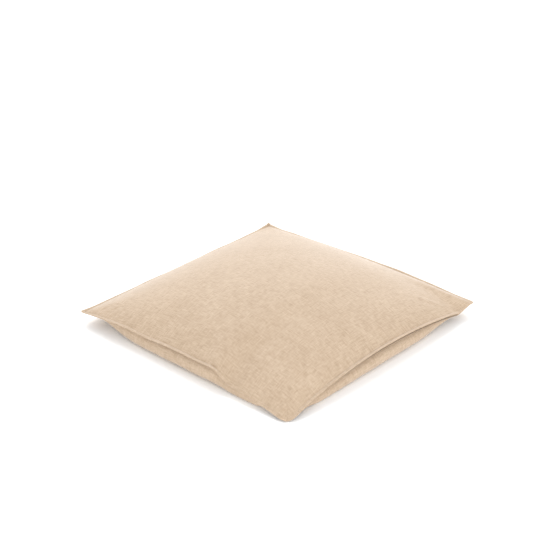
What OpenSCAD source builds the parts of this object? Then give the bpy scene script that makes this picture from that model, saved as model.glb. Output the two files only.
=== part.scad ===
// Square linen floor cushion: a removable cover with a narrow stitched flange all round and a
// concealed zip along the front side, over a separate pad filled with feather and fibre.
// +X runs along the zip, -Y is the zip side, +Z is up, and the cushion rests on z = 0.

/* [Cover] */
// Side of the cover, flange included
side = 650; // [600:10:700]
// Width of the flange outside its stitch line
flange_w = 9; // [7:1:12]
// Thickness of the linen
linen_t = 0.8; // [0.6:0.1:1]
// Height of the crown above the seam
crown_h = 58; // [40:1:70]
// Depth of the belly below the seam, before the floor flattens it
belly_h = 130; // [100:5:150]
// How far each side is drawn in at its middle
side_pull = 8; // [6:1:14]

/* [Seam heights] */
// Seam above the floor at the front left corner, which lies nearly on it
corner_front_left = 7; // [6:1:20]
// Seam above the floor at the front right corner
corner_front_right = 14; // [10:1:34]
// Seam above the floor at the back left corner
corner_back_left = 23; // [14:1:34]
// Seam above the floor at the back right corner
corner_back_right = 16; // [14:1:34]
// How far the back right corner lies in from square, along X
back_right_in = 8; // [0:1:10]
// Rise of the front seam from its corners to its middle
front_rise = 33; // [24:1:36]
// Rise of the left seam from its corners to its middle
left_rise = 25; // [18:1:28]
// Rise of the back seam from its corners to its middle
back_rise = 8; // [6:1:24]
// Rise of the right seam from its corners to its middle
right_rise = 23; // [8:1:26]

/* [Zip] */
// Length of the zip's tapes
zip_length = 500; // [440:10:520]
// Travel of the slider along the zip
zip_travel = 464; // [400:4:468]
// Length of the slider
slider_l = 9; // [8:0.5:10]
// Length of the pull tab from its pin
tab_l = 18; // [14:1:18]
// Height of the pull tab
tab_h = 3.6; // [3.2:0.2:3.6]
// Radius of the pull tab's pin
pin_r = 0.5; // [0.4:0.05:0.5]

/* [Pad] */
// Thickness of the pad's cotton case
case_t = 0.5; // [0.3:0.1:0.6]
// Share of the seam's half width at which the pad's own edge lies
pad_edge = 0.933; // [0.925:0.001:0.94]
// Share of the seam's half width that the pad's seam allowance reaches
pad_allowance = 0.952; // [0.945:0.001:0.96]

/* [Hidden] */
$fn = 48;

// Colours
linen = [0.83, 0.73, 0.61];
linen_under = [0.78, 0.68, 0.56];
thread = [0.90, 0.82, 0.71];
zip_cloth = [0.74, 0.65, 0.54];
zip_metal = [0.62, 0.56, 0.49];
cotton = [0.95, 0.94, 0.90];
label_white = [0.93, 0.92, 0.89];
down = [0.98, 0.97, 0.94];

// Shape of the cushion
crown_power = 0.6;            // how square the crown's section is: lower is squarer
belly_power = 0.34;           // the same for the belly
ply_gap = 0.1;                // half the gap between the two halves of the flange
flange_t = 2 * linen_t;       // each half of the flange is the panel and its turned allowance
seam_half = side / 2 - flange_w;

// Layers inside the cover, as depths below its outer surface
label_depth = linen_t + 0.05;
label_t = 0.3;
case_depth = linen_t + 0.5;
filling_depth = case_depth + case_t + 0.1;
pinch_gap = 0.6;              // half the gap between the two cases at the pad's own edge

// Section of the zip, measured outwards and up from the front seam
face_in = -1.4;               // inner face of the facings behind the lips
face_out = -0.6;              // outer face of the same facings
slit_mid = -4.4;              // height of the slit's middle
slit_half = 0.9;              // half the slit's height
lip_drop = 7.25;              // top of the lower lip below the seam
lower_lip_w = 4;              // width of the lower lip
coil_out = -2.7;              // middle of the coils
coil_up = 1.4;                // each coil's middle above or below the slit's
coil_r = 0.75;
tape_t = 0.45;
neck_t = 0.9;                 // thickness of the slider's neck, which passes through the slit
eye_out = 1.1;                // middle of the neck's eye
zip_zone = 0.846;             // share of the front seam along which the lips are open
closed_share = 0.933;         // share of the front seam at which they have closed again

// The seam's grid lines, as shares of its half width, closer together near the edge
steps = 8;
half_lines = [for (i = [1:steps]) 0.45 * i / steps + 0.55 * sin(90 * i / steps)];
edge_line = 0.98;             // one more line close to the seam
lines_in = concat([0], [for (x = half_lines) if (x < 0.99) x], [edge_line, 1]);
function mirrored(list) = concat(
    [for (i = [len(list) - 1:-1:0]) if (list[i] > 0) -list[i]], list);
seam_lines = mirrored(lines_in);
cover_lines = concat([-2], seam_lines, [2]);          // 2 stands for the flange's outer edge
pad_inner = mirrored([for (x = lines_in) if (x < pad_edge - 0.01) x]);
fill_lines = concat([-pad_edge], pad_inner, [pad_edge]);
pad_lines = concat([-pad_allowance], fill_lines, [pad_allowance]);

// The four seam lines. Each is an arc that bows inwards and up between two corners.
c_fl = [-seam_half, -seam_half, corner_front_left];
c_fr = [seam_half, -seam_half, corner_front_right];
c_bl = [-seam_half, seam_half, corner_back_left];
c_br = [seam_half - back_right_in, seam_half, corner_back_right];
bow_front = [0, side_pull, front_rise];
bow_back = [0, -side_pull, back_rise];
bow_left = [side_pull, 0, left_rise];
bow_right = [-side_pull, 0, right_rise];

function unit(v) = v / norm(v);
// An arc's frame: [middle of its circle, radius, half its angle, unit along, unit of the bow]
function arc_frame(a, b, bow) =
    let (along = unit(b - a), across = bow - (bow * along) * along, h = norm(across),
         c = norm(b - a) / 2, r = (c * c + h * h) / (2 * h), up = unit(across))
    [(a + b) / 2 + up * (h - r), r, asin(c / r), along, up];
function arc_point(f, t) = f[0] + f[1] * (f[4] * cos(f[2] * t) + f[3] * sin(f[2] * t));
front_arc = arc_frame(c_fl, c_fr, bow_front);
back_arc = arc_frame(c_bl, c_br, bow_back);
left_arc = arc_frame(c_fl, c_bl, bow_left);
right_arc = arc_frame(c_fr, c_br, bow_right);

function clamp1(x) = max(-1, min(1, x));
function on_rim(u, v) = abs(u) >= 1 || abs(v) >= 1;
// The sheet that spans the four seams: a Coons patch over u and v from -1 to 1
function patch(u, v) =
    (1 - v) / 2 * arc_point(front_arc, u) + (1 + v) / 2 * arc_point(back_arc, u)
    + (1 - u) / 2 * arc_point(left_arc, v) + (1 + u) / 2 * arc_point(right_arc, v)
    - (1 - u) * (1 - v) / 4 * c_fl - (1 + u) * (1 - v) / 4 * c_fr
    - (1 - u) * (1 + v) / 4 * c_bl - (1 + u) * (1 + v) / 4 * c_br;
function seam_sheet(u, v) =
    patch(clamp1(u), clamp1(v)) + flange_w * [u - clamp1(u), v - clamp1(v), 0];
function dome(u, v, power) =
    on_rim(u, v) ? 0 : pow((1 - u * u) * (1 - v * v), power);
function up(z) = [0, 0, z];
function floored(p, z) = [p.x, p.y, max(p.z, z)];

// The cover's upper half, at a depth below its outer surface
function top_at(u, v, depth) = seam_sheet(u, v)
    + up(ply_gap + flange_t + crown_h * dome(u, v, crown_power) - depth);
// The cover's lower half, at a height above its outer surface
function low_at(u, v, height) = floored(seam_sheet(u, v)
    - up(ply_gap + flange_t + belly_h * dome(u, v, belly_power)), 0) + up(height);

// Where the lips of the zip side are open: 1 along the zip, 0 towards the corners
function open_share(u) = abs(u) <= zip_zone + 0.001 ? 1 : 0;
// The lower half of the flange. On the zip side it drops and narrows to the lower lip.
function low_rim(u, v, height) =
    let (zipped = v <= -1 ? open_share(u) : 0, p = seam_sheet(u, v),
         narrowed = v < -1 ? [0, zipped * (flange_w - lower_lip_w), 0] : [0, 0, 0])
    p + narrowed - up(ply_gap + flange_t - height) - up(zipped * (lip_drop - ply_gap));

// A closed shell between two surfaces over one grid of u and v
module shell(us, vs, upper, lower) {
    m = len(vs);
    n = len(us);
    half = n * m;
    cells = [for (i = [0:n - 2]) for (j = [0:m - 2]) [i, j]];
    function at(i, j) = i * m + j;
    top_faces = [for (c = cells) let (a = at(c[0], c[1])) each [[a, a + 1, a + m + 1], [a, a + m + 1, a + m]]];
    low_faces = [for (f = top_faces) [f[2] + half, f[1] + half, f[0] + half]];
    rim = concat(
        [for (i = [0:n - 2]) [at(i, 0), at(i + 1, 0)]], [for (j = [0:m - 2]) [at(n - 1, j), at(n - 1, j + 1)]],
        [for (i = [n - 1:-1:1]) [at(i, m - 1), at(i - 1, m - 1)]], [for (j = [m - 1:-1:1]) [at(0, j), at(0, j - 1)]]);
    rim_faces = [for (e = rim) each [[e[0], e[1], e[1] + half], [e[0], e[1] + half, e[0] + half]]];
    polyhedron(
        points = concat([for (u = us) for (v = vs) upper(u, v)], [for (u = us) for (v = vs) lower(u, v)]),
        faces = concat(top_faces, low_faces, rim_faces));
}

// A thin square bar swept through points, as a line of thread
module bar(points, w, h) {
    n = len(points);
    corners = [[-w / 2, 0], [w / 2, 0], [w / 2, h], [-w / 2, h]];
    function side_of(i) =
        let (d = points[min(n - 1, i + 1)] - points[max(0, i - 1)]) unit([-d.y, d.x, 0]);
    polyhedron(
        points = [for (i = [0:n - 1]) for (c = corners) points[i] + c[0] * side_of(i) + up(c[1])],
        faces = concat(
            [[0, 1, 2, 3], [4 * n - 1, 4 * n - 2, 4 * n - 3, 4 * n - 4]],
            [for (i = [0:n - 2]) for (k = [0:3])
                [4 * i + k, 4 * i + 4 + k, 4 * i + 4 + (k + 1) % 4, 4 * i + (k + 1) % 4]]));
}

// Places a flat section, drawn outwards and up from the front seam, along the zip's arc.
// from and to are distances along the arc from its middle, towards +X.
zip_r = front_arc[1];
zip_tilt = acos(front_arc[4].y) - 180;
function zip_angle(distance) = distance / zip_r * 180 / PI;
module zip_frame() {
    up_dir = front_arc[4];
    along = front_arc[3];
    axis = cross(up_dir, along);
    o = front_arc[0];
    multmatrix([
        [up_dir.x, along.x, axis.x, o.x], [up_dir.y, along.y, axis.y, o.y],
        [up_dir.z, along.z, axis.z, o.z], [0, 0, 0, 1]]) children();
}
module along_zip(from, to) {
    zip_frame() rotate([0, 0, zip_angle(from)])
        rotate_extrude(angle = zip_angle(to - from), $fn = 720)
            translate([zip_r, 0]) rotate(zip_tilt) children();
}
// Places a solid at a distance along the arc. Its x is outwards, y up and z towards -X.
module at_zip(distance) {
    zip_frame() rotate([0, 0, zip_angle(distance)]) translate([zip_r, 0, 0])
        rotate([90, 0, 0]) rotate([0, 0, zip_tilt]) children();
}
module box2(x0, x1, y0, y1) {
    translate([x0, y0]) square([x1 - x0, y1 - y0]);
}
module box3(x0, x1, y0, y1, z0, z1) {
    translate([x0, y0, z0]) cube([x1 - x0, y1 - y0, z1 - z0]);
}

module top_panel() {
    color(linen) shell(cover_lines, cover_lines,
        function(u, v) top_at(u, v, 0),
        function(u, v) on_rim(u, v) ? seam_sheet(u, v) + up(ply_gap) : top_at(u, v, linen_t));
}
module bottom_panel() {
    color(linen_under) shell(cover_lines, cover_lines,
        function(u, v) on_rim(u, v) ? low_rim(u, v, flange_t) : low_at(u, v, linen_t),
        function(u, v) on_rim(u, v) ? low_rim(u, v, 0) : low_at(u, v, 0));
}

// The lips of the opening are faced with strips that the zip's tapes are sewn to
zone_half = zip_zone * seam_half;
lip_end = 6;                  // the facings stop this far short of the closed corners
module front_flange_facing() {
    leg_top = -0.2;
    leg_low = leg_top - flange_t + ply_gap;
    color(linen_under) along_zip(-zone_half + lip_end, zone_half - lip_end) union() {
        box2(face_in, flange_w - 0.3, leg_low, leg_top);
        box2(face_in, face_out, slit_mid + slit_half, leg_low);
    }
}
module lower_zip_facing() {
    color(linen_under) along_zip(-zone_half + lip_end, zone_half - lip_end)
        box2(face_in, face_out, -lip_drop - 0.4, slit_mid - slit_half);
}

// Each topstitch is a needle thread on top of the flange and a bobbin thread below it. The threads
// turn at the same grid lines as the panels, so that they lie on them.
stitch_in = 1.5;              // from the seam to the stitching, across the flange
thread_w = 0.5;
thread_h = 0.35;
thread_lift = 0.05;
stitch_shares = [for (x = seam_lines) if (abs(x) < 1) x];
function flange_line(shares, arc, out, z) =
    [for (t = shares) arc_point(arc, t) + out * stitch_in + up(z)];
module topstitch(arc, out) {
    z = ply_gap + flange_t + thread_lift;
    color(thread) {
        bar(flange_line(stitch_shares, arc, out, z), thread_w, thread_h);
        bar(flange_line(stitch_shares, arc, out, -z - thread_h), thread_w, thread_h);
    }
}
// Along the zip the bobbin thread lies under the facing, and not under the bottom panel
module topstitch_front() {
    z = ply_gap + flange_t + thread_lift;
    under_facing = z + thread_h + 0.1;
    zip_shares = [for (x = stitch_shares) if (abs(x) < zip_zone - 0.05) x];
    color(thread) {
        bar(flange_line(stitch_shares, front_arc, [0, -1, 0], z), thread_w, thread_h);
        bar(flange_line(zip_shares, front_arc, [0, -1, 0], -under_facing), thread_w, thread_h);
    }
}
module end_tack(sign) {
    tack_w = 1.6;
    tack_h = 0.5;
    p = arc_point(front_arc, sign * (zip_zone + closed_share) / 2);
    z = ply_gap + flange_t + 0.2;
    color(thread) translate(p + up(z)) translate([-tack_w / 2, -flange_w + 0.5, 0])
        cube([tack_w, flange_w - 2.6, tack_h]);
}

// Each tape is sewn behind its facing and turns inwards along the panel
tape_out = face_in - 0.05;
tape_half = zip_length / 2;
module tape_section(s) {
    root = coil_up + 0.6;     // the tape starts beside its coil, clear of the slider's neck
    bend = s > 0 ? 4.6 : 5.0;
    run = 6.1;
    rise = s > 0 ? 1.9 : 4.4;
    a = tape_out - tape_t;
    translate([0, slit_mid]) polygon([
        [tape_out, s * (root - 0.9)], [tape_out, s * (bend - 0.1)], [a - run, s * (bend + rise)],
        [a - run, s * (bend + rise - tape_t)], [a, s * (bend - tape_t - 0.2)], [a, s * (root - 0.9)]]);
}
module zip_tape_upper() {
    color(zip_cloth) along_zip(-tape_half, tape_half) tape_section(1);
}
module zip_tape_lower() {
    color(zip_cloth) along_zip(-tape_half, tape_half) tape_section(-1);
}
coil_half = tape_half - 8;
module coil(s) {
    color(zip_cloth) along_zip(-coil_half, coil_half)
        translate([coil_out, slit_mid + s * coil_up]) circle(r = coil_r, $fn = 24);
}

// The slider's body runs behind the coils, and its neck passes through the slit to an eye
back_out = -3.7;
back_t = 0.9;
cheek_up = 2.5;
cheek_t = 0.9;
body_up = cheek_up + cheek_t;
eye_r = 1.15;
pin_clear = 0.06;
slider_at = zip_travel / 2;
module zip_slider() {
    cheek_out = tape_out - tape_t - 0.2;
    color(zip_metal) at_zip(slider_at) translate([0, slit_mid, 0]) difference() {
        union() {
            box3(back_out - back_t, back_out, -body_up, body_up, -slider_l / 2, slider_l / 2);
            for (s = [-1, 1])
                box3(back_out - back_t, cheek_out, min(s * cheek_up, s * body_up),
                    max(s * cheek_up, s * body_up), -slider_l / 2, slider_l / 2);
            box3(back_out - back_t, 0.1, -neck_t / 2, neck_t / 2, -slider_l / 2, slider_l / 2);
            box3(0, eye_out, -neck_t / 2, neck_t / 2, -eye_r, eye_r);
            translate([eye_out, 0, 0]) rotate([90, 0, 0]) cylinder(r = eye_r, h = neck_t, center = true);
        }
        translate([eye_out, 0, 0]) rotate([90, 0, 0])
            cylinder(r = pin_r + pin_clear, h = neck_t * 3, center = true);
    }
}
// The tab straddles the eye with two ears, and a pin through both turns in it
tab_t = 1;
ear_gap = neck_t / 2 + 0.2;
tab_root = eye_r + 0.35;
module zip_pull_tab() {
    ear_h = tab_h / 2 - ear_gap;
    window_r = 0.9;
    color(zip_metal) at_zip(slider_at) translate([eye_out, slit_mid, 0]) difference() {
        union() {
            for (s = [-1, 1]) translate([0, s * (ear_gap + ear_h / 2), 0]) {
                rotate([90, 0, 0]) cylinder(r = tab_t / 2 + 0.25, h = ear_h, center = true);
                box3(-tab_t / 2, tab_t / 2, -ear_h / 2, ear_h / 2, -tab_root - 0.2, 0);
            }
            rotate([90, 0, 0]) cylinder(r = pin_r, h = tab_h - 0.8, center = true);
            box3(-tab_t / 2, tab_t / 2, -tab_h / 2, tab_h / 2, -tab_l + tab_h / 2, -tab_root);
            translate([0, 0, -tab_l + tab_h / 2]) rotate([0, 90, 0])
                cylinder(r = tab_h / 2, h = tab_t, center = true);
        }
        translate([0, 0, -tab_l + tab_h / 2]) rotate([0, 90, 0])
            cylinder(r = window_r, h = tab_t * 3, center = true);
    }
}
stop_l = 2.5;
module zip_top_stops() {
    color(zip_metal) for (s = [-1, 1]) at_zip(coil_half + stop_l / 2 + 0.3)
        translate([0, slit_mid + s * coil_up, 0])
            box3(coil_out - coil_r, coil_out + coil_r - 0.2, -coil_r, coil_r, -stop_l / 2, stop_l / 2);
}
module zip_bottom_stop() {
    reach = coil_up + coil_r;
    color(zip_metal) at_zip(-coil_half - stop_l / 2 - 0.3) translate([0, slit_mid, 0])
        box3(coil_out - coil_r, coil_out + coil_r - 0.2, -reach, reach, -stop_l / 2, stop_l / 2);
}

// The labels are blank, and lie flat against the inside of the cover and the top of the pad
care_us = [for (x = seam_lines) if (x > -0.99 && x < -0.84) x];
care_vs = [for (x = seam_lines) if (x > 0.15 && x < 0.35) x];
module care_label() {
    color(label_white) shell(care_us, care_vs,
        function(u, v) top_at(u, v, label_depth),
        function(u, v) top_at(u, v, label_depth + label_t));
}
module pad_label() {
    us = [for (x = seam_lines) if (x > 0.4 && x < 0.7) x];
    vs = [for (x = seam_lines) if (x > 0.6 && x < 0.75) x];
    color(label_white) shell(us, vs,
        function(u, v) top_at(u, v, label_depth),
        function(u, v) top_at(u, v, label_depth + label_t));
}

// The pad inside: its two cases pinch together at its own edge, short of the cover's seam
function at_pad_edge(u, v) = max(abs(u), abs(v)) > pad_edge - 0.005;
module pad_case_top() {
    color(cotton) shell(pad_lines, pad_lines,
        function(u, v) at_pad_edge(u, v) ? patch(u, v) + up(pinch_gap + case_t) : top_at(u, v, case_depth),
        function(u, v) at_pad_edge(u, v) ? patch(u, v) + up(pinch_gap) : top_at(u, v, case_depth + case_t));
}
module pad_case_bottom() {
    color(cotton) shell(pad_lines, pad_lines,
        function(u, v) at_pad_edge(u, v) ? patch(u, v) - up(pinch_gap) : low_at(u, v, case_depth + case_t),
        function(u, v) at_pad_edge(u, v) ? patch(u, v) - up(pinch_gap + case_t) : low_at(u, v, case_depth));
}
module pad_filling() {
    thin = pinch_gap - 0.1;
    color(down) shell(fill_lines, fill_lines,
        function(u, v) at_pad_edge(u, v) ? patch(u, v) + up(thin) : top_at(u, v, filling_depth),
        function(u, v) at_pad_edge(u, v) ? patch(u, v) - up(thin) : low_at(u, v, filling_depth));
}
module pad_seam_thread() {
    mid = (pad_edge + pad_allowance) / 2;
    z = pinch_gap + case_t + thread_lift;
    color(thread) for (s = [-1, 1]) {
        bar([for (t = pad_inner) patch(t, s * mid) + up(z)], thread_w, thread_h);
        bar([for (t = pad_inner) patch(s * mid, t) + up(z)], thread_w, thread_h);
    }
}

top_panel();
bottom_panel();
front_flange_facing();
lower_zip_facing();
topstitch_front();
topstitch(back_arc, [0, 1, 0]);  // topstitch_back
topstitch(left_arc, [-1, 0, 0]);  // topstitch_left
topstitch(right_arc, [1, 0, 0]);  // topstitch_right
end_tack(-1);  // end_tack_left
end_tack(1);  // end_tack_right
zip_tape_upper();
zip_tape_lower();
coil(1);  // zip_coil_upper
coil(-1);  // zip_coil_lower
zip_top_stops();
zip_bottom_stop();
zip_slider();
zip_pull_tab();
care_label();
pad_case_top();
pad_case_bottom();
pad_seam_thread();
pad_label();
pad_filling();
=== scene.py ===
"""A square linen floor cushion: a zipped cover with a narrow stitched flange, over a soft pad.

The panels of the cover are cloth that is cut flat, sewn round its edge and blown up by the pad.
Everything is in metres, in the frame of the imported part.
"""

import math

import bpy
import numpy as np
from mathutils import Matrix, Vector


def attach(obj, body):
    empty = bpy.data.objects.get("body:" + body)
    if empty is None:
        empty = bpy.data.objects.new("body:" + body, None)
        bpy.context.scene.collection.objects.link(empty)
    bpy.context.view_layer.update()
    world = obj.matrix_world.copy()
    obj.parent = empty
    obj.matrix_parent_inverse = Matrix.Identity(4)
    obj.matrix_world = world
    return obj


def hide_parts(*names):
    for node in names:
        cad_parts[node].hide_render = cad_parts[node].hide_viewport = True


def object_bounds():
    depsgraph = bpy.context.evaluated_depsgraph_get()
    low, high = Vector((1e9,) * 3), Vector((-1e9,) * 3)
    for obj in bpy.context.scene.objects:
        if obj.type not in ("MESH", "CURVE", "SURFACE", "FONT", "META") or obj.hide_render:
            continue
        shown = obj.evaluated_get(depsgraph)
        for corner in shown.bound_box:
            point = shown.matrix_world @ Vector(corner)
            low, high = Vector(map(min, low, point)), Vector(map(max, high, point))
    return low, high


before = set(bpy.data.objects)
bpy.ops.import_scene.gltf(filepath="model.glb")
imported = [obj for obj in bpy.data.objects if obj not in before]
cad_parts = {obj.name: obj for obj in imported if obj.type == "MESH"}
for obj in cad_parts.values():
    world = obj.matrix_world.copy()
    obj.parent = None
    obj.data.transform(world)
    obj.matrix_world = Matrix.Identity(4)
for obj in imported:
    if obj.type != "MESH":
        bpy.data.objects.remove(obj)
cad_low, cad_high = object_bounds()

MM = 0.001

# Driving sizes. SIDE comes from the frame, and the rest repeat the part's own design.
SIDE = cad_high.x - cad_low.x
FLANGE = 9 * MM
SEAM_HALF = SIDE / 2 - FLANGE
LINEN = 0.8 * MM
FLANGE_HALF = 1.7 * MM  # from the middle of the flange to its outer faces
STITCH_IN = 1.5 * MM  # from the seam to the topstitching
FLANGE_PUFF = 0.25 * MM  # how far the flange swells between its stitching and its edge
GROOVE, GROOVE_WIDTH = 0.85 * MM, 1.4 * MM  # what the stitching presses in
EDGE_HALF = 0.12 * MM  # half the flange's thickness at its very edge
EDGE_ROUND = 1.6 * MM
EDGE_THINNER = 0.35  # how much thinner the flange gets towards its edge, as a share
FLANGE_REST = 1.9 * MM  # the flange's middle comes no nearer to the floor
SEAM_HEIGHT = {
    "front_left": 7 * MM,
    "front_right": 14 * MM,
    "back_left": 23 * MM,
    "back_right": 16 * MM,
}
EAR_LIFT = {  # how far the flat corners turn up above the line of their seams
    "front_left": 0 * MM,
    "front_right": 16 * MM,
    "back_left": 2 * MM,
    "back_right": 3 * MM,
}
SIDE_PULL = 8 * MM
FRONT_RISE = 33 * MM
LEFT_RISE = 25 * MM
BACK_RISE = 8 * MM
RIGHT_RISE = 15 * MM
BACK_RIGHT_IN = 8 * MM  # this corner lies a little out of square
CORNER_ROUND = {  # how far from its tip a corner begins to round off
    "front_left": 36 * MM,
    "front_right": 4 * MM,
    "back_left": 4 * MM,
    "back_right": 4 * MM,
}

# The opening on the front side: where its lips are fully apart, and where they have met again
LIPS_APART = 0.846
LIPS_MET = 0.933
LOWER_LIP_DROP = 8.05 * MM
LOWER_LIP_HALF = 0.8 * MM
LOWER_LIP_WIDTH = 4 * MM
SLIT_MID = 4.4 * MM
SLIT_HALF = 0.9 * MM

# The cloth simulation
CUT = 2 * SEAM_HALF * 1.024  # a panel's cut width from seam to seam, wider than it lies
LOW_SPREAD = 0.096  # how far the middle of the lower panel has spread under the pad, as a share
CLOTH_LINES = 97
CLOTH_FRAMES = 30
CROWN = 54 * MM  # where the simulation starts from
START_FLOOR = 2 * MM
BELLY_OUT = 12 * MM  # how far the sides then bulge past the seams
BULGE_AT = 0.05  # where they bulge most, as a share of half a panel
EAR = {  # how far each flat corner reaches, as a share of half a side
    "front_left": 0.34,
    "front_right": 0.62,
    "back_left": 0.58,
    "back_right": 0.5,
}

PUCKER = 0.28 * MM  # how deep the gathers beside a seam are
PUCKER_AT = 5 * MM  # where they are deepest, from the seam
PUCKER_WAVES = (  # share of the depth, length, phase, how far it wanders, over what length
    (1.0, 3.1 * MM, 1, 2.0, 19 * MM),
    (0.8, 6.7 * MM, 2, 1.5, 37 * MM),
)

TACK_FROM, TACK_TO = 2.2 * MM, 7.6 * MM  # the bar tacks, from the seam
TACK_WIDTH = 1.8 * MM
TACK_THREAD = 0.19 * MM

FLANGE_RINGS = (0.6, 1.5, 2.4, 4.0, 5.8, 7.4, 8.4, 8.85, 9.0)  # millimetres from the seam
UPPER_FACING = (8.8, 8.3, 7.2, 5.6, 4.0, 2.6, 1.5, 0.7, 0.1)
LOWER_FACING = (8.8, 8.0, 6.4, 4.6, 3.0, 1.6, 0.6, 0.1)
FACING_SINK = 0.05 * MM  # how far a facing lies in its panel
FACING_END = 0.72  # where a facing ends, as a share of the way from lips apart to lips met

STITCH_PITCH, STITCH_LENGTH, STITCH_THREAD = 3.3 * MM, 2.6 * MM, 0.22 * MM

# The zip
COIL_LENGTH = 484 * MM
COIL_OUT = -2.7 * MM  # the coils' middle, from the seam outwards
COIL_UP = 1.32 * MM  # each coil's middle above or below the slit's
COIL_WIDE, COIL_HIGH = 0.5 * MM, 0.62 * MM
COIL_PITCH, COIL_FILAMENT = 1.25 * MM, 0.2 * MM

# The pad
PAD_LINES = 81
PAD_EDGE = 0.933  # how far it reaches, as a share of the way to the seams
PAD_GAP, CORE_GAP = 2.2 * MM, 3.4 * MM  # from the cover to the pad's case and to its filling
PAD_BELOW = 1.5 * MM  # how far its edge lies below the cover's seam
PAD_ROUND = 0.1  # how much of it at its edge is rounded
PAD_CASE = 0.25 * MM
PAD_STITCH_PITCH = 3.5 * MM
PAD_STITCH_END = 6 * MM


# ---------------------------------------------------------------- shape helpers


def unit(v):
    """The vectors at length 1."""
    return v / np.maximum(np.linalg.norm(v, axis=-1, keepdims=True), 1e-12)


def smooth(x, low, high):
    """0 below low, 1 above high, and an even curve between."""
    t = np.clip((x - low) / (high - low), 0, 1)
    return t * t * (3 - 2 * t)


def arc(a, b, bow, t):
    """The point at t, from -1 to 1, on the arc from a to b that bows by a vector at its middle."""
    a, b, bow = (np.array(v, float) for v in (a, b, bow))
    along = unit(b - a)
    across = bow - (bow @ along) * along
    sag, half = np.linalg.norm(across), np.linalg.norm(b - a) / 2
    radius = (half**2 + sag**2) / (2 * sag)
    up = across / sag
    turn = math.asin(half / radius) * np.asarray(t, float)[..., None]
    middle = (a + b) / 2 + up * (sag - radius)
    return middle + radius * (up * np.cos(turn) + along * np.sin(turn))


def corner(name):
    """Where the seams of two sides meet."""
    x = SEAM_HALF if name.endswith("right") else -SEAM_HALF
    y = SEAM_HALF if name.startswith("back") else -SEAM_HALF
    if name == "back_right":
        x -= BACK_RIGHT_IN
    return np.array([x, y, SEAM_HEIGHT[name]])


def lifted_corner(name):
    """The same corner with its ear turned up."""
    return corner(name) + np.array([0, 0, EAR_LIFT[name]])


SIDES = {
    "front": ("front_left", "front_right", (0, SIDE_PULL, FRONT_RISE), (0, -1, 0)),
    "back": ("back_left", "back_right", (0, -SIDE_PULL, BACK_RISE), (0, 1, 0)),
    "left": ("front_left", "back_left", (SIDE_PULL, 0, LEFT_RISE), (-1, 0, 0)),
    "right": ("front_right", "back_right", (-SIDE_PULL, 0, RIGHT_RISE), (1, 0, 0)),
}

# How far the flange hangs below level along each side, in degrees: (place from -1 to 1, angle).
# It stays level along the zip, where the facing and the pull tab are close under it.
HANG = {
    "front": (
        (-1, 38), (-0.95, 30), (-0.87, 4), (-0.8, 0), (0, -8), (0.8, 0), (0.88, 22), (0.95, 26), (1, 4),
    ),
    "back": ((-1, -16), (-0.92, 4), (-0.5, 18), (0, 24), (0.5, 18), (0.88, 10), (1, -30)),
    "left": ((-1, 30), (-0.85, 38), (-0.5, 44), (-0.41, 34), (-0.34, -16), (0, -8), (0.4, 4), (1, -14)),
    "right": ((-1, 0), (-0.85, 12), (-0.7, 8), (-0.35, -12), (0, 12), (0.5, 22), (0.88, 10), (1, -30)),
}
# Where a seam leaves its even curve: (place from -1 to 1, width, height)
SEAM_WAVES = {
    "left": (
        (-0.29, 0.1, 5 * MM),
        (-0.47, 0.08, -6 * MM),
        (-0.68, 0.16, -3 * MM),
        (0.3, 0.2, -4 * MM),
    )
}
EAR_START = 0.84  # where along a side the corners begin to turn up
WAVE_DEG = 3.0  # small unevenness of the flange's angle
HANG_BLUR = 12  # how far the table above is evened out, in 400ths of a side


def hang(side, t):
    """The flange's angle below level, in radians, at places along a side."""
    places, angles = zip(*HANG[side])
    dense = np.linspace(-1, 1, 401)
    kernel = np.hanning(2 * HANG_BLUR + 1)
    padded = np.pad(np.interp(dense, places, angles), HANG_BLUR, mode="edge")
    even = np.convolve(padded, kernel / kernel.sum(), "valid")
    angle = np.interp(t, dense, even)
    phase = {"front": 0.4, "back": 1.9, "left": 3.1, "right": 4.6}[side]
    wave = np.sin(9.1 * t + phase) + 0.7 * np.sin(17.3 * t + 2.3 * phase)
    quiet = 0.0 if side == "front" else 1.0
    return np.radians(angle + quiet * WAVE_DEG * wave * (1 - t**6))


def seam(side, t):
    """Points on the middle of the flange at its seam. The zip keeps the front one to its own arc,
    and the ears turn up from it beyond the zip's ends. Each other side goes from ear to ear."""
    a, b, bow, _ = SIDES[side]
    if side == "front":
        line = arc(corner(a), corner(b), bow, t)
        line[..., 2] += EAR_LIFT[a] * smooth(-t, EAR_START, 1) + EAR_LIFT[b] * smooth(t, EAR_START, 1)
    else:
        line = arc(lifted_corner(a), lifted_corner(b), bow, t)
    for place, width, height in SEAM_WAVES.get(side, ()):
        line[..., 2] += height * np.exp(-(((t - place) / width) ** 2)) * (1 - t**4)
    return line


def flange_frame(side, t):
    """The direction that the flange runs outwards in, and the direction its upper face looks in."""
    out = np.array(SIDES[side][3], float)
    angle = hang(side, t)[..., None]
    up = np.array([0, 0, 1.0])
    return out * np.cos(angle) - up * np.sin(angle), up * np.cos(angle) + out * np.sin(angle)


def sheet(u, v):
    """The sheet that spans the four seams, for arrays of u and v from -1 to 1."""
    f, b, l, r = seam("front", u), seam("back", u), seam("left", v), seam("right", v)
    u, v = u[..., None], v[..., None]
    flat = sum(
        (1 + su * u) * (1 + sv * v) / 4 * lifted_corner(name)
        for name, su, sv in (
            ("front_left", -1, -1),
            ("front_right", 1, -1),
            ("back_left", -1, 1),
            ("back_right", 1, 1),
        )
    )
    return (1 - v) / 2 * f + (1 + v) / 2 * b + (1 - u) / 2 * l + (1 + u) / 2 * r - flat


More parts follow.
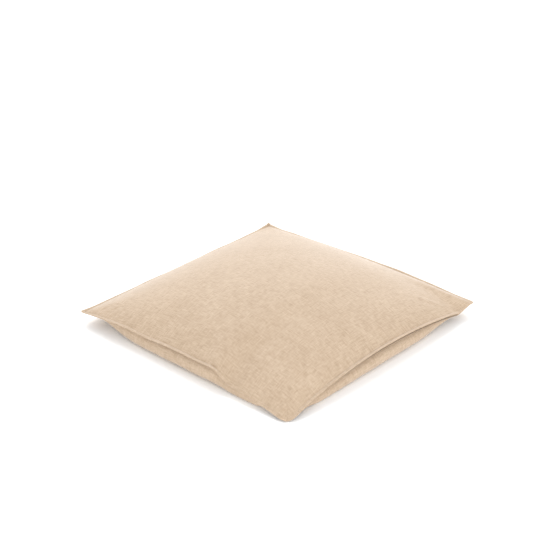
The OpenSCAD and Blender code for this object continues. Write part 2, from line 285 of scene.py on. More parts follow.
def round_corners(points):
    """The points with those near the cover's four corners drawn in to a round corner."""
    points = points.copy()
    for name, reach in CORNER_ROUND.items():
        tip = corner(name)[:2]
        sign = np.sign(tip)
        inward = (tip + sign * FLANGE - points[..., :2]) * sign
        past = np.clip(reach - inward, 0, None)
        longest = past.max(-1, keepdims=True)
        around = (past**2.4).sum(-1, keepdims=True) ** (1 / 2.4)
        keep = np.where(around > 0, longest / np.maximum(around, 1e-9), 1)
        points[..., :2] -= sign * past * (1 - keep)
    return points


def lips_apart(u):
    """1 where the two lips of the opening are fully apart, and 0 where the flange is whole."""
    return 1 - smooth(np.abs(u), LIPS_APART, LIPS_MET)


def face_height(d):
    """How far the flange's face stands from its middle, at a distance from the seam."""
    across = np.clip((d - STITCH_IN) / (FLANGE - STITCH_IN), 0, 1)
    puff = FLANGE_PUFF * np.sin(math.pi * across)
    groove = GROOVE * np.exp(-(((d - STITCH_IN) / GROOVE_WIDTH) ** 2))
    round_edge = np.clip((d - FLANGE + EDGE_ROUND) / EDGE_ROUND, 0, 1)
    edge = np.sqrt(1 - round_edge**2) * (1 - EDGE_THINNER * across)
    return EDGE_HALF + (FLANGE_HALF - EDGE_HALF + puff - groove) * edge


# ---------------------------------------------------------------- meshes


def new_object(name, points, faces, uv=None, smooth_shading=True):
    """A mesh object in the scene. Its uv, where given, is the cut cloth's place in metres."""
    mesh = bpy.data.meshes.new(name)
    faces = faces.tolist() if isinstance(faces, np.ndarray) else faces
    mesh.from_pydata(np.asarray(points, float).reshape(-1, 3).tolist(), [], faces)
    if uv is not None:
        layer = mesh.uv_layers.new(name="cloth")
        corners = np.array([loop.vertex_index for loop in mesh.loops])
        layer.data.foreach_set("uv", np.asarray(uv, np.float32).reshape(-1, 2)[corners].ravel())
    if smooth_shading:
        mesh.polygons.foreach_set("use_smooth", [True] * len(mesh.polygons))
    mesh.update()
    obj = bpy.data.objects.new(name, mesh)
    bpy.context.scene.collection.objects.link(obj)
    return obj


def grid_faces(n, m, flip=False):
    """The quads of a grid of n by m points, looking up where x and y grow with the two indices."""
    i = np.arange(n * m).reshape(n, m)
    quads = np.stack([i[:-1, :-1], i[1:, :-1], i[1:, 1:], i[:-1, 1:]], -1).reshape(-1, 4)
    return quads[:, ::-1] if flip else quads


def finer(grid):
    """A grid with a new line between each two, on a smooth curve through its points that stays
    above the floor."""
    for axis in (0, 1):
        g = np.moveaxis(grid, axis, 0)
        before = np.concatenate([[2 * g[0] - g[1]], g[:-2]])
        after = np.concatenate([g[2:], [2 * g[-1] - g[-2]]])
        middles = (9 * (g[:-1] + g[1:]) - before - after) / 16
        both = np.empty((2 * len(g) - 1, *g.shape[1:]))
        both[::2], both[1::2] = g, middles
        grid = np.moveaxis(both, 0, axis)
    grid[..., 2] = np.maximum(grid[..., 2], 0)
    return grid


def cloth_places(count):
    """Places from -1 to 1 across a panel, three times as close at its seams as in its middle."""
    even = np.linspace(-1, 1, count)
    return even + 0.5 * np.sin(math.pi * even) / math.pi


def at(grid, u, v):
    """The point of a panel's grid at each u and v from -1 to 1, by bilinear interpolation."""
    n = grid.shape[0] - 1
    x, y = (np.interp(w, cloth_places(n + 1), np.arange(n + 1)) for w in (u, v))
    i, j = (np.minimum(w.astype(int), n - 1) for w in (x, y))
    fx, fy = (x - i)[..., None], (y - j)[..., None]
    low = grid[i, j] * (1 - fx) + grid[i + 1, j] * fx
    high = grid[i, j + 1] * (1 - fx) + grid[i + 1, j + 1] * fx
    return low * (1 - fy) + high * fy


def thicken(obj, thickness):
    """Give a sheet its thickness, on the side that its faces look away from."""
    modifier = obj.modifiers.new("thickness", "SOLIDIFY")
    modifier.thickness, modifier.offset = thickness, -1


def tube(points, radius, sides):
    """The points and faces of a round tube along a line of points, with closed ends."""
    points = np.asarray(points, float)
    radius = np.broadcast_to(np.asarray(radius, float), (len(points),))
    along = unit(np.gradient(points, axis=0))
    side = unit(np.cross(along, [0, 0, 1.0]) + 1e-9)
    up = np.cross(side, along)
    turn = np.linspace(0, 2 * math.pi, sides, endpoint=False)
    ring = np.cos(turn)[None, :, None] * side[:, None] + np.sin(turn)[None, :, None] * up[:, None]
    body = (points[:, None] + radius[:, None, None] * ring).reshape(-1, 3)
    i = np.arange(len(points) * sides).reshape(len(points), sides)
    j = np.roll(i, -1, 1)
    faces = np.stack([i[:-1], j[:-1], j[1:], i[1:]], -1).reshape(-1, 4).tolist()
    faces += [i[0][::-1].tolist(), i[-1].tolist()]
    return body, faces


def closed_between(upper, lower):
    """A closed shell between two grids of one size."""
    n, m = upper.shape[:2]
    i = np.arange(n * m).reshape(n, m)
    rim = np.concatenate([i[:-1, 0], i[-1, :-1], i[:0:-1, -1], i[0, :0:-1]])
    nxt = np.roll(rim, -1)
    walls = np.stack([rim, rim + n * m, nxt + n * m, nxt], -1)
    faces = np.concatenate([grid_faces(n, m), grid_faces(n, m, flip=True) + n * m, walls])
    return np.concatenate([upper.reshape(-1, 3), lower.reshape(-1, 3)]), faces


def joined(parts):
    """One list of points and one of faces from several."""
    points, faces, start = [], [], 0
    for p, f in parts:
        points.append(p)
        faces += [[k + start for k in face] for face in f]
        start += len(p)
    return np.concatenate(points), faces


def piece(name, node, points, faces, material, slot):
    """A finished piece of the cushion, which takes the place of a node of the frame."""
    obj = new_object(name, points, faces)
    obj.data.materials.append(material)
    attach(obj, "cushion")
    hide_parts(node)
    return obj


# ---------------------------------------------------------------- the cloth simulation


def in_the_body(u, v):
    """0 in the flat corners, where the pad doesn't reach, and 1 over the body of the cushion."""
    share = np.ones_like(u)
    for name, reach in EAR.items():
        x, y = np.sign(corner(name)[:2])
        share *= smooth(np.hypot(1 - x * u, 1 - y * v), 0.03, reach)
    return share


def down_and_in(t, first, last):
    """Where places from -1 to 1 along a line of the lower panel lie in plan, and how far down they
    are, from 0 at a seam to 1 on the floor. The sides at its two ends take up first and last of it."""
    down = np.clip(np.minimum((1 + t) / first, (1 - t) / last), 0, 1)
    flat = 2 - first - last
    return 2 * np.clip(1 + t - first, 0, flat) / flat - 1, down


def starting_shape(lines):
    """Both panels before the simulation: the seams where they stay, a rough crown, and a lower
    panel that goes straight down from its seams to the floor. Also their flat cut."""
    t = cloth_places(lines)
    u, v = np.meshgrid(t, t, indexing="ij")
    dome = np.clip((1 - u**2) * (1 - v**2), 0, 1)
    body = in_the_body(u, v)
    middle, face, _ = flange_middle(u, v, 0 * u, 0 * v)
    edge = (np.maximum(np.abs(u), np.abs(v)) >= 1)[..., None]
    face = np.where(edge, face, [0, 0, 1.0])
    apart = lips_apart(u) * smooth(-v, 0.9, 1)
    half = face_height(0.0)
    top = middle + face * half
    top[..., 2] += CROWN * dome**0.6
    seams = middle - face * (half * (1 - apart * (1 - LOWER_LIP_HALF / FLANGE_HALF)))[..., None]
    seams[..., 2] -= apart * LOWER_LIP_DROP

    wall = np.maximum((seams[..., 2] - START_FLOOR) * body, MM) / (CUT / 2)
    plan_u, down_u = down_and_in(u, wall[:1], wall[-1:])
    plan_v, down_v = down_and_in(v, wall[:, :1], wall[:, -1:])
    plan_u, plan_v = u + (plan_u - u) * down_v, v + (plan_v - v) * down_u
    down = np.minimum(down_u, down_v) * body
    low = sheet(plan_u, plan_v) + seams - middle
    low[..., 2] += (START_FLOOR - low[..., 2]) * down
    for axis, along, across in ((0, v, u), (1, u, v)):
        share = (1 - np.abs(across)) / BULGE_AT
        out = BELLY_OUT * (1 - along**2) ** 1.5 * share * np.exp(1 - share)
        low[..., axis] += np.sign(across) * out
    spread_u, spread_v = 1 + LOW_SPREAD * (1 - v**2), 1 + LOW_SPREAD * (1 - u**2)
    flat = np.stack([u, v, 0 * u], -1) * CUT / 2
    return top, low, np.concatenate([flat, flat * np.stack([spread_u, spread_v, 0 * u], -1)])


def evened(grid, passes=3):
    """The grid with its finest ripples evened out, and its edges as they were."""
    for _ in range(passes):
        inside = grid[1:-1, 1:-1]
        around = grid[:-2, 1:-1] + grid[2:, 1:-1] + grid[1:-1, :-2] + grid[1:-1, 2:]
        grid = grid.copy()
        grid[1:-1, 1:-1] = (inside + around / 4) / 2
    return grid


def simulated_panels():
    """The cover's top and bottom panels as grids of points, blown up between their held seams."""
    n = CLOTH_LINES
    top, low, flat = starting_shape(n)
    points = np.concatenate([top, low]).reshape(-1, 3)
    faces = np.concatenate([grid_faces(n, n), grid_faces(n, n, flip=True) + n * n])
    cloth = new_object("cloth", points, faces)
    cloth.shape_key_add(name="held")
    cut = cloth.shape_key_add(name="cut")
    cut.data.foreach_set("co", flat.astype(np.float32).ravel())
    cut.value = 0
    edge = np.zeros((2, n, n), bool)
    edge[:, [0, -1], :] = edge[:, :, [0, -1]] = True
    cloth.vertex_groups.new(name="seam").add(np.flatnonzero(edge).tolist(), 1, "REPLACE")
    filled = cloth.vertex_groups.new(name="filled")
    u, v = np.meshgrid(cloth_places(n), cloth_places(n), indexing="ij")
    for index, share in enumerate(np.tile(in_the_body(u, v).ravel(), 2)):
        filled.add([index], 0.1 + 0.9 * float(share), "REPLACE")

    modifier = cloth.modifiers.new("cloth", "CLOTH")
    s = modifier.settings
    s.quality, s.mass, s.air_damping = 6, 0.3, 8
    s.tension_stiffness, s.compression_stiffness = 15, 5
    s.shear_stiffness, s.bending_stiffness = 1.5, 0.12
    s.vertex_group_mass, s.pin_stiffness = "seam", 1
    s.use_pressure, s.uniform_pressure_force, s.vertex_group_pressure = True, 4.5, "filled"
    s.rest_shape_key = cut
    s.effector_weights.gravity = 0
    modifier.collision_settings.distance_min = 1 * MM
    modifier.point_cache.frame_start, modifier.point_cache.frame_end = 1, CLOTH_FRAMES

    slab = [(-1, -1, 0), (1, -1, 0), (1, 1, 0), (-1, 1, 0)]
    floor = new_object("cloth_floor", slab, [(0, 1, 2, 3)])
    floor.modifiers.new("collision", "COLLISION")
    floor.collision.thickness_outer, floor.collision.cloth_friction = 1 * MM, 5

    for step in range(1, CLOTH_FRAMES + 1):
        bpy.context.scene.frame_set(step)
    made = cloth.evaluated_get(bpy.context.evaluated_depsgraph_get()).data
    result = np.zeros(2 * n * n * 3, np.float32)
    made.vertices.foreach_get("co", result)
    for obj in (cloth, floor):
        bpy.data.objects.remove(obj)
    bpy.context.scene.frame_set(1)
    top, low = result.astype(float).reshape(2, n, n, 3)
    low = evened(low)
    rest = low[..., 2].min()
    low[..., 2] = np.maximum(low[..., 2] - rest * (1 - smooth(low[..., 2], rest, 6 * MM)), 0)
    return top, low


# ---------------------------------------------------------------- the cover


def cover_lines(inner):
    """Grid lines across the cover: the panel's own from -1 to 1, and the flange's rings outside."""
    rings = np.array(FLANGE_RINGS) * MM
    t = cloth_places(inner)
    place = np.concatenate([-np.ones(len(rings)), t, np.ones(len(rings))])
    reach = np.concatenate([-rings[::-1], 0 * t, rings])
    return place, reach


def flange_middle(u, v, du, dv, drop=0.0, narrow=1.0):
    """The middle of the flange at places on its seam, du and dv outwards across it, and the
    direction that its upper face looks in. Its corners are slightly rounded."""
    both = np.maximum(np.abs(du), np.abs(dv))
    around = (np.abs(du) ** 5 + np.abs(dv) ** 5) ** 0.2
    keep = np.where(around > 0, both / np.maximum(around, 1e-9), 1)
    du, dv = du * keep, dv * keep
    point = sheet(u, v)
    face = np.zeros_like(point)
    for side, d, t in (("front", -dv, u), ("back", dv, u), ("left", -du, v), ("right", du, v)):
        out, up = flange_frame(side, t)
        d = np.clip(d, 0, None)
        width = narrow if side == "front" else 1.0
        point = point + out * (d * width)[..., None]
        near = (d > 0) | ((both == 0) & (np.abs({"f": v, "b": v, "l": u, "r": u}[side[0]]) >= 1))
        face = face + up * near[..., None]
    face = unit(face + np.array([0, 0, 1e-6]))
    point[..., 2] -= drop
    return point, face, both


def lift_off_floor(points, least):
    """Points no lower than least, with an even curve where they come down to it."""
    z = points[..., 2] - least
    soft = 1.5 * MM
    points[..., 2] = least + np.where(z > soft, z, soft * np.exp(np.minimum((z - soft) / soft, 0)))
    return points


def puckered(panel):
    """The panel with the small gathers that its seams draw in it."""
    t = cloth_places(panel.shape[0])
    u, v = np.meshgrid(t, t, indexing="ij")
    panel = panel.copy()
    for along, across, phase in ((u, v, 0.7), (v, u, 2.9)):
        from_seam = (1 - np.abs(across)) * SEAM_HALF
        place = along * SEAM_HALF + np.sign(across) * 31 * MM  # so that no two sides are alike
        wave = sum(
            share * np.sin(place / length + turn * phase + wander * np.sin(place / over))
            for share, length, turn, wander, over in PUCKER_WAVES
        )
        depth = from_seam / PUCKER_AT * np.exp(1 - from_seam / PUCKER_AT)
        panel[..., 2] += PUCKER * wave * depth * (1 - along**4)
    return panel


def cover_grid(panel, upper):
    """The whole outer surface of one panel and its half of the flange, and its cut coordinates."""
    n = panel.shape[0]
    place, reach = cover_lines(n)
    k = len(FLANGE_RINGS)
    u, v = np.meshgrid(place, place, indexing="ij")
    du, dv = np.meshgrid(reach, reach, indexing="ij")
    apart = np.zeros_like(u) if upper else lips_apart(u) * (v <= -1)
    drop = apart * LOWER_LIP_DROP
    narrow = 1 - apart * (1 - LOWER_LIP_WIDTH / FLANGE)
    middle, face, d = flange_middle(u, v, du, dv, drop, narrow)
    height = face_height(d) * (1 - apart * (1 - LOWER_LIP_HALF / FLANGE_HALF))
    middle = lift_off_floor(middle, FLANGE_REST)
    grid = middle + face * (height if upper else -height)[..., None]
    grid[k : k + n, k : k + n] = puckered(panel) if upper else panel
    uv = np.stack([u * CUT / 2 + du, v * CUT / 2 + dv], -1)
    return round_corners(grid), uv


def cover_panel(name, panel, node, material, upper):
    """One panel of the cover, with its half of the flange and its cloth's thickness."""
    grid, uv = cover_grid(panel, upper)
    obj = new_object(name, grid, grid_faces(*grid.shape[:2], flip=not upper), uv)
    thicken(obj, LINEN)
    obj.data.materials.append(material)
    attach(obj, "cushion")
    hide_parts(node)
    return obj


# ---------------------------------------------------------------- the opening's facings


def front_lip(u, d, drop=0.0, narrow=1.0):
    """The middle of a lip of the opening along the front side, and the way its upper face looks."""
    v = -np.ones_like(u)
    return flange_middle(u, v, 0 * u, 0 * u - d, drop, narrow)[:2]


def facing(name, node, material, upper):
    """The folded strip behind a lip: across the lip, and down or up to the edge of the slit."""
    end = LIPS_APART + FACING_END * (LIPS_MET - LIPS_APART)
    u_line = np.linspace(-end, end, 241)
    apart = lips_apart(u_line)
    rows = []
    if upper:
        for d in np.array(UPPER_FACING) * MM:
            middle, face = front_lip(u_line, d)
            rows.append(middle - face * (face_height(d) - FACING_SINK))
        riser = (SLIT_MID - SLIT_HALF - FLANGE_HALF) * apart
        steps = ((0.5, 0.25), (0.8, 0.6), (0.8, 1.0))
    else:
        drop = apart * LOWER_LIP_DROP
        narrow = 1 - apart * (1 - LOWER_LIP_WIDTH / FLANGE)
        for d in np.array(LOWER_FACING) * MM:
            middle, face = front_lip(u_line, d, drop, narrow)
            half = face_height(d) * (1 - apart * (1 - LOWER_LIP_HALF / FLANGE_HALF))
            rows.append(middle + face * (half - FACING_SINK)[..., None])
        riser = -(LOWER_LIP_DROP - LOWER_LIP_HALF - SLIT_MID - SLIT_HALF) * apart
        steps = ((0.4, 0.2), (0.7, 0.55), (0.7, 1.0))
    root = rows[-1]
    for inward, share in steps:
        row = root + np.array([0, inward * MM, 0])
        row[..., 2] -= riser * share
        rows.append(row)
    grid = np.stack(rows, 1)
    middle_line = grid[len(u_line) // 2]
    across = np.concatenate([[0], np.cumsum(np.linalg.norm(np.diff(middle_line, axis=0), axis=1))])
    uv = np.stack(np.broadcast_arrays(u_line[:, None] * CUT / 2, across[None, :]), -1)
    obj = new_object(name, grid, grid_faces(*grid.shape[:2], flip=upper), uv)
    thicken(obj, LINEN * 0.7)
    obj.data.materials.append(material)
    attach(obj, "cushion")
    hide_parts(node)


# ---------------------------------------------------------------- thread


def stitch(place, along, face, length, radius=STITCH_THREAD):
    """One stitch: a short thread that lies on the cloth and dips into it at both ends."""
    share = np.linspace(-1, 1, 6)
    height = radius * 0.8 - 3.2 * radius * np.abs(share) ** 5
    line = place + along * (share * length / 2)[:, None] + face * height[:, None]
    thickness = radius * (1 - 0.25 * share**6)
    return tube(line, thickness, sides=6)


def stitch_run(side, upper):
    """The places, directions and facings of a side's stitches on one face of its flange."""
    limit = 1 + STITCH_IN / SEAM_HALF
    count = int(2 * SEAM_HALF / STITCH_PITCH)
    t = np.linspace(-limit, limit, count + 1)
    middle_of = (t[:-1] + t[1:]) / 2
    if side == "front" and not upper:
        middle_of = middle_of[np.abs(middle_of) < LIPS_APART]
    point = flange_at(side, middle_of, upper)
    step = 0.5 * STITCH_PITCH / SEAM_HALF
    along = unit(flange_at(side, middle_of + step, upper) - flange_at(side, middle_of - step, upper))
    face = flange_frame(side, np.clip(middle_of, -1, 1))[1] * (1 if upper else -1)
    face = unit(face - (face * along).sum(-1, keepdims=True) * along)
    return [stitch(p, a, f, STITCH_LENGTH) for p, a, f in zip(point, along, face)]


def flange_at(side, t, upper):
    """Points on a face of the flange along its line of stitching. Past a corner the line goes on."""
    d = np.full_like(t, STITCH_IN)
    held = np.clip(t, -1, 1)
    past = (t - held) * SEAM_HALF
    one = np.ones_like(t)
    u, v, du, dv = {
        "front": (held, -one, past, -d),
        "back": (held, one, past, d),
        "left": (-one, held, -d, past),
        "right": (one, held, d, past),
    }[side]
    middle, face, _ = flange_middle(u, v, du, dv)
    middle = lift_off_floor(middle, FLANGE_REST)
    return round_corners(middle + face * (1 if upper else -1) * face_height(STITCH_IN))


def topstitch(side, material):
    """The stitches of one side, on both faces of its flange."""
    points, faces = joined(stitch_run(side, True) + stitch_run(side, False))
    piece(f"stitches_{side}", f"topstitch_{side}", points, faces, material, "linen_thread")


def end_tack(name, node, sign, material):
    """A bar of close stitches across the flange, where the lips of the opening have met."""
    d = np.linspace(TACK_FROM, TACK_TO, 18)
    place = np.full_like(d, sign * (LIPS_APART + LIPS_MET) / 2)
    point, face = front_lip(place, d)
    along = unit(front_lip(place + MM / SEAM_HALF, d)[0] - point)
    point = point + face * face_height(d)[:, None]
    bars = [stitch(p, a, f, TACK_WIDTH, TACK_THREAD) for p, a, f in zip(point, along, face)]
    piece(name, node, *joined(bars), material, "linen_thread")


# ---------------------------------------------------------------- the zip


def zip_line(distance):
    """Points on the front seam at distances along it from its middle, with their frames."""
    dense = np.linspace(-1, 1, 2001)
    steps = np.linalg.norm(np.diff(seam("front", dense), axis=0), axis=1)
    length = np.concatenate([[0], np.cumsum(steps)])
    t = np.interp(distance, length - length[-1] / 2, dense)
    point = seam("front", t)
    along = unit(seam("front", t + 1e-4) - seam("front", t - 1e-4))
    out = unit(np.array([0, -1.0, 0]) - along * (-along[..., 1:2]))
    return point, along, out, unit(np.cross(out, along))


def coil(name, node, sign, material):
    """A nylon coil: a close helix of one thick filament, wound round the edge of its tape."""
    per_turn = 9
    count = int(COIL_LENGTH / COIL_PITCH * per_turn)
    distance = np.linspace(-COIL_LENGTH / 2, COIL_LENGTH / 2, count)
    point, _, out, up = zip_line(distance)
    turn = distance / COIL_PITCH * 2 * math.pi
    centre = point + out * COIL_OUT + up * (-SLIT_MID + sign * COIL_UP)
    wide, high = COIL_WIDE * np.cos(turn), COIL_HIGH * np.sin(turn)
    line = centre + out * wide[:, None] + up * high[:, None]
    piece(name, node, *tube(line, COIL_FILAMENT, sides=5), material, "zip_coil")


# ---------------------------------------------------------------- the pad inside


def pad_sides(top_panel, low_panel, gap):
    """The pad's upper and lower surfaces, a gap inside the panels and pinched at its own edge."""
    even = np.linspace(-1, 1, PAD_LINES)
    t = 0.7 * np.sin(even * math.pi / 2) + 0.3 * even
    u, v = np.meshgrid(t, t, indexing="ij")
    above, below = (at(panel, u * PAD_EDGE, v * PAD_EDGE) for panel in (top_panel, low_panel))
    middle = (above + below) / 2
    middle[..., 2] = sheet(u * PAD_EDGE, v * PAD_EDGE)[..., 2] - PAD_BELOW
    near = 1 - np.maximum(np.abs(u), np.abs(v))
    full = np.clip(near / PAD_ROUND, 0, 1)
    full = np.sqrt(full * (2 - full))[..., None]
    gathers = 0.6 * MM * np.abs(np.sin(38 * u) * np.sin(38 * v)) * (near < 0.12)
    apart = 0.3 * MM * (1 - full[..., 0])  # the two cases lie on each other at the edge
    upper = middle + (above - middle) * full
    lower = middle + (below - middle) * full
    inward = gap * full[..., 0] + gathers
    upper[..., 2] += apart - inward
    lower[..., 2] += inward - apart
    return upper, lower


def pad_seam(upper):
    """The stitches round the pad, on its upper surface."""
    stitches = []
    for line in (upper[1], upper[-2], upper[:, 1], upper[:, -2]):
        line = line + np.array([0, 0, 0.15 * MM])
        length = np.concatenate([[0], np.cumsum(np.linalg.norm(np.diff(line, axis=0), axis=1))])
        where = np.arange(PAD_STITCH_END, length[-1] - PAD_STITCH_END, PAD_STITCH_PITCH)
        point, ahead = (
            np.stack([np.interp(place, length, line[:, k]) for k in range(3)], -1)
            for place in (where, where + MM)
        )
        for p, q in zip(point, ahead):
            stitches.append(stitch(p, unit(q - p), np.array([0, 0, 1.0]), STITCH_LENGTH))
    return joined(stitches)


def pad(top_panel, low_panel, cotton, thread, down):
    """The pad: two cases sewn together round the edge, over the filling."""
    upper, lower = pad_sides(top_panel, low_panel, PAD_GAP)
    for name, grid, flip in (("top", upper, False), ("bottom", lower, True)):
        faces = grid_faces(PAD_LINES, PAD_LINES, flip=flip)
        case = piece("pad_" + name, "pad_case_" + name, grid, faces, cotton, "pad_cotton")
        thicken(case, PAD_CASE)
    inside = (side[2:-2, 2:-2] for side in pad_sides(top_panel, low_panel, CORE_GAP))
    filling = piece("pad_core", "pad_filling", *closed_between(*inside), down, "filling")
    piece("pad_stitches", "pad_seam_thread", *pad_seam(upper), thread, "cotton_thread")


def label(name, node, panel, u_range, v_range, depth, material):
    """A blank label, folded double, that lies against the inside of a panel."""
    rows, columns = 13, 17
    u, v = np.meshgrid(np.linspace(*u_range, rows), np.linspace(*v_range, columns), indexing="ij")
    outer = at(panel, u, v)
    outer[..., 2] -= depth
    fold = outer.copy()
    fold[..., 2] -= 0.35 * MM + 0.25 * MM * np.sin(np.linspace(0, math.pi, rows))[:, None]
    piece(name, node, *closed_between(outer, fold), material, "label_satin")


# ---------------------------------------------------------------- materials


def make_material(name, colour, roughness, sheen=0.0, sheen_roughness=0.5, metallic=0.0):
    material = bpy.data.materials.new(name)
    material.use_nodes = True
    shader = material.node_tree.nodes["Principled BSDF"]
    shader.inputs["Base Color"].default_value = (*colour, 1)
    shader.inputs["Roughness"].default_value = roughness
    shader.inputs["Sheen Weight"].default_value = sheen
    shader.inputs["Sheen Roughness"].default_value = sheen_roughness
    shader.inputs["Metallic"].default_value = metallic
    return material, shader


class Nodes:
    """Short calls for the nodes that the materials are made of."""

    def __init__(self, material):
        self.tree = material.node_tree

    def add(self, kind, inputs=(), **settings):
        node = self.tree.nodes.new("ShaderNode" + kind)
        for key, value in settings.items():
            setattr(node, key, value)
        for key, value in dict(inputs).items():
            if isinstance(value, bpy.types.NodeSocket):
                self.tree.links.new(value, node.inputs[key])
            else:
                node.inputs[key].default_value = value
        return node

    def link(self, a, b):
        self.tree.links.new(a, b)

    def maths(self, operation, a, b=0.0):
        return self.add("Math", {0: a, 1: b}, operation=operation).outputs[0]

    def cloth(self, scale):
        """The cut cloth's own coordinates, in metres, times a scale along each thread."""
        place = self.add("UVMap", uv_map="cloth").outputs["UV"]
        size = {"Vector": place, "Scale": scale}
        return self.add("Mapping", size, vector_type="POINT").outputs["Vector"]

    def noise(self, vector, scale=1.0, detail=3.0, roughness=0.5):
        inputs = {"Vector": vector, "Scale": scale, "Detail": detail, "Roughness": roughness}
        return self.add("TexNoise", inputs).outputs["Fac"]

    def ramp(self, value, *stops):
        node = self.add("ValToRGB", {"Fac": value})
        elements = node.color_ramp.elements
        while len(elements) < len(stops):
            elements.new(0.5)
        for element, (place, colour) in zip(elements, stops):
            element.position = place
            element.color = (*colour, 1)
        return node.outputs["Color"]

    def mix(self, factor, a, b, blend="MIX"):
        node = self.add("Mix", data_type="RGBA", blend_type=blend)
        for socket, value in ((0, factor), (6, a), (7, b)):
            if isinstance(value, bpy.types.NodeSocket):
                self.link(value, node.inputs[socket])
            else:
                node.inputs[socket].default_value = value
        return node.outputs[2]


def grey(x):
    return (x, x, x)


def linen(name, colour, light=1.0):
    """Washed plain-weave linen: uneven threads both ways, slubs, and a soft mottling."""
    # light scales the whole colour evenly. Below 1 it is painted shade, for the copies on the lower
    # panel and the facings.
    colour = tuple(c * light for c in colour)
    material, shader = make_material(name, colour, 0.9, sheen=0.42, sheen_roughness=0.4)
    n = Nodes(material)
    pitch = 1 / (1.1 * MM)
    warp = n.noise(n.cloth((pitch, 55, 1)), 1, 2, 0.6)
    weft = n.noise(n.cloth((55, pitch, 1)), 1, 2, 0.6)
    threads = n.maths("MULTIPLY", n.maths("ADD", warp, weft), 0.5)
    slub = n.maths("MAXIMUM", n.noise(n.cloth((600, 14, 1)), 1, 1), n.noise(n.cloth((12, 700, 1)), 1, 1))
    band_u = n.noise(n.cloth((340, 44, 1)), 1, 2, 0.6)
    band_v = n.noise(n.cloth((44, 340, 1)), 1, 2, 0.6)
    bands = n.maths("MULTIPLY", n.maths("ADD", band_u, band_v), 0.5)
    broad = n.noise(n.cloth((11, 11, 1)), 1, 3)
    tint = n.ramp(threads, (0.36, (0.80, 0.765, 0.72)), (0.5, grey(1.0)), (0.64, (1.12, 1.13, 1.15)))
    streak = n.ramp(slub, (0.5, grey(1.0)), (0.66, (0.93, 0.915, 0.895)), (0.78, (0.88, 0.86, 0.83)))
    cloud = n.ramp(broad, (0.3, (0.965, 0.955, 0.94)), (0.7, (1.03, 1.035, 1.04)))
    base = n.mix(1.0, (*colour, 1), tint, "MULTIPLY")
    base = n.mix(1.0, base, streak, "MULTIPLY")
    base = n.mix(1.0, base, cloud, "MULTIPLY")
    uneven = n.ramp(bands, (0.36, (0.90, 0.875, 0.845)), (0.5, grey(1.0)), (0.64, (1.085, 1.10, 1.115)))
    base = n.mix(1.0, base, uneven, "MULTIPLY")
    n.link(base, shader.inputs["Base Color"])
    wave = {"Scale": pitch * 0.16, "Distortion": 0.6, "Detail": 1.0, "Detail Scale": 2.0}
    wave["Vector"] = n.cloth((1, 1, 1))
    warp_ridge = n.add("TexWave", wave, bands_direction="X").outputs["Fac"]
    weft_ridge = n.add("TexWave", wave, bands_direction="Y").outputs["Fac"]
    weave = n.maths("MULTIPLY", n.maths("MULTIPLY", warp_ridge, weft_ridge), 0.5)
    relief = n.maths("ADD", weave, n.maths("MULTIPLY", threads, 0.9))
    relief = n.maths("ADD", relief, n.maths("MULTIPLY", slub, 0.6))
    bump = n.add("Bump", {"Height": relief, "Strength": 0.55, "Distance": 0.4 * MM})
    n.link(bump.outputs["Normal"], shader.inputs["Normal"])
    return material


def plain_cloth(name, colour, threads_mm, roughness=0.85, sheen=0.1):
    """A closely woven cloth in the object's own coordinates, for tapes, labels and the pad."""
    material, shader = make_material(name, colour, roughness, sheen=sheen)
    n = Nodes(material)
    place = n.add("TexCoord").outputs["Object"]
    scale = 1 / (threads_mm * MM)
    fine = n.noise(place, scale, 2, 0.6)
    broad = n.noise(place, 18, 3)
    shade = n.ramp(fine, (0.3, grey(0.86)), (0.7, grey(1.05)))
    cloud = n.ramp(broad, (0.3, grey(0.95)), (0.7, grey(1.03)))
    base = n.mix(1.0, (*colour, 1), shade, "MULTIPLY")
    n.link(n.mix(1.0, base, cloud, "MULTIPLY"), shader.inputs["Base Color"])
    bump = n.add("Bump", {"Height": fine, "Strength": 0.5, "Distance": 0.15 * MM})
    n.link(bump.outputs["Normal"], shader.inputs["Normal"])
    return material


def lacquered_metal(name, colour):
    """Zinc alloy under a thin matching lacquer, with faint wear."""
    material, shader = make_material(name, colour, 0.34, metallic=0.55)
    shader.inputs["Coat Weight"].default_value = 0.3
    n = Nodes(material)
    place = n.add("TexCoord").outputs["Object"]
    worn = n.noise(place, 900, 3)
    n.link(n.ramp(worn, (0.35, grey(0.28)), (0.7, grey(0.46))), shader.inputs["Roughness"])
    tint = n.ramp(n.noise(place, 260, 3), (0.3, grey(0.92)), (0.75, grey(1.06)))
    n.link(n.mix(1.0, (*colour, 1), tint, "MULTIPLY"), shader.inputs["Base Color"])
    return material


# ---------------------------------------------------------------- floor, light and camera


def floor_and_light():
    """A white floor under a white sky, a large soft key behind, and a low soft fill on each side
    of the camera."""
    size = 12
    slab = [(-size, -size, 0), (size, -size, 0), (size, size, 0), (-size, size, 0)]
    floor = new_object("floor", slab, [(0, 1, 2, 3)], smooth_shading=False)
    material, shader = make_material("floor_white", (0.96, 0.96, 0.96), 0.9)
    shader.inputs["Specular IOR Level"].default_value = 0.1
    floor.data.materials.append(material)
    world = bpy.data.worlds.new("studio")
    world.use_nodes = True
    world.node_tree.nodes["Background"].inputs["Color"].default_value = (1, 1, 1, 1)
    world.node_tree.nodes["Background"].inputs["Strength"].default_value = 0.90
    bpy.context.scene.world = world
    soft_box("key", (1.8, 2.25, 2.5), 2.8, 160)
    soft_box("left_fill", (-2.9, -0.9, 0.3), 1.6, 62)
    soft_box("front_fill", (0.4, -3.0, 0.3), 1.6, 64)


def soft_box(name, place, size, power):
    """A square soft light at a place, turned towards the cushion."""
    light = bpy.data.lights.new(name, "AREA")
    light.energy, light.size = power, size
    obj = bpy.data.objects.new(name, light)
    obj.location = place
    obj.rotation_euler = (Vector((0, 0, 0.05)) - Vector(place)).to_track_quat("-Z", "Y").to_euler()
    bpy.context.scene.collection.objects.link(obj)


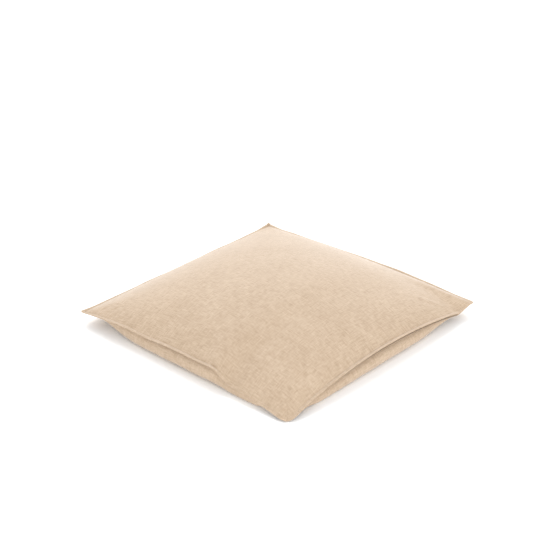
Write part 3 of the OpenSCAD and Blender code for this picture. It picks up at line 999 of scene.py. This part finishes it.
def camera():
    """A long lens that looks down on the front left corner."""
    data = bpy.data.cameras.new("camera")
    data.lens, data.sensor_width = 100.8, 36
    data.clip_end = 50
    obj = bpy.data.objects.new("camera", data)
    place, aim = Vector((-2.350, -2.160, 1.805)), Vector((0.0347, 0.0258, 0.0761))
    obj.location = place
    obj.rotation_euler = (aim - place).to_track_quat("-Z", "Y").to_euler()
    bpy.context.scene.collection.objects.link(obj)
    bpy.context.scene.camera = obj


# ---------------------------------------------------------------- the whole cushion

bpy.context.scene.view_settings.view_transform = "Standard"
camera()
floor_and_light()

FLAX = (0.447, 0.341, 0.244)
linen_top = linen("linen_top", FLAX)
# The lower panel's copy of the same linen is a little darker: painted shade for the panel that lies
# under the crown.
linen_bottom = linen("linen_bottom", FLAX, 0.97)
# The facings' copy of the same linen is darker still: painted shade for the slit they lie in.
linen_facing = linen("linen_facing", FLAX, 0.95)
thread = plain_cloth("linen_thread", (0.52, 0.41, 0.30), 0.35, roughness=0.6)
tape = plain_cloth("zip_tape", (0.40, 0.31, 0.225), 0.5)
nylon = plain_cloth("zip_coil", (0.38, 0.29, 0.21), 0.4, roughness=0.35)
metal = lacquered_metal("zip_metal", (0.33, 0.265, 0.20))
satin = plain_cloth("label_satin", (0.62, 0.61, 0.59), 0.3, roughness=0.4, sheen=0.3)
cotton = plain_cloth("pad_cotton", (0.56, 0.47, 0.36), 0.45)
cotton_thread = plain_cloth("cotton_thread", (0.56, 0.48, 0.38), 0.35, roughness=0.6)
down = plain_cloth("filling", (0.66, 0.65, 0.62), 4.0, sheen=0.4)

top_panel, low_panel = (finer(p) for p in simulated_panels())
top = cover_panel("cover_top", top_panel, "top_panel", linen_top, upper=True)
bottom = cover_panel("cover_bottom", low_panel, "bottom_panel", linen_bottom, upper=False)

facing("upper_lip_facing", "front_flange_facing", linen_facing, upper=True)
facing("lower_lip_facing", "lower_zip_facing", linen_facing, upper=False)
for side in SIDES:
    topstitch(side, thread)
end_tack("tack_left", "end_tack_left", -1, thread)
end_tack("tack_right", "end_tack_right", 1, thread)
coil("coil_upper", "zip_coil_upper", 1, nylon)
coil("coil_lower", "zip_coil_lower", -1, nylon)
pad(top_panel, low_panel, cotton, cotton_thread, down)
label("care_tag", "care_label", top_panel, (-0.94, -0.86), (0.18, 0.34), 1.1 * MM, satin)
label("pad_tag", "pad_label", top_panel, (0.42, 0.56), (0.6, 0.7), 1.3 * MM, satin)

for name, material in (
    ("zip_tape_upper", tape),
    ("zip_tape_lower", tape),
    ("zip_top_stops", metal),
    ("zip_bottom_stop", metal),
    ("zip_slider", metal),
    ("zip_pull_tab", metal),
):
    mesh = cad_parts[name].data
    mesh.materials.clear()
    mesh.materials.append(material)
for name in ("zip_slider", "zip_pull_tab"):
    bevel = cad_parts[name].modifiers.new("bevel", "BEVEL")
    bevel.width, bevel.segments = 0.15 * MM, 2
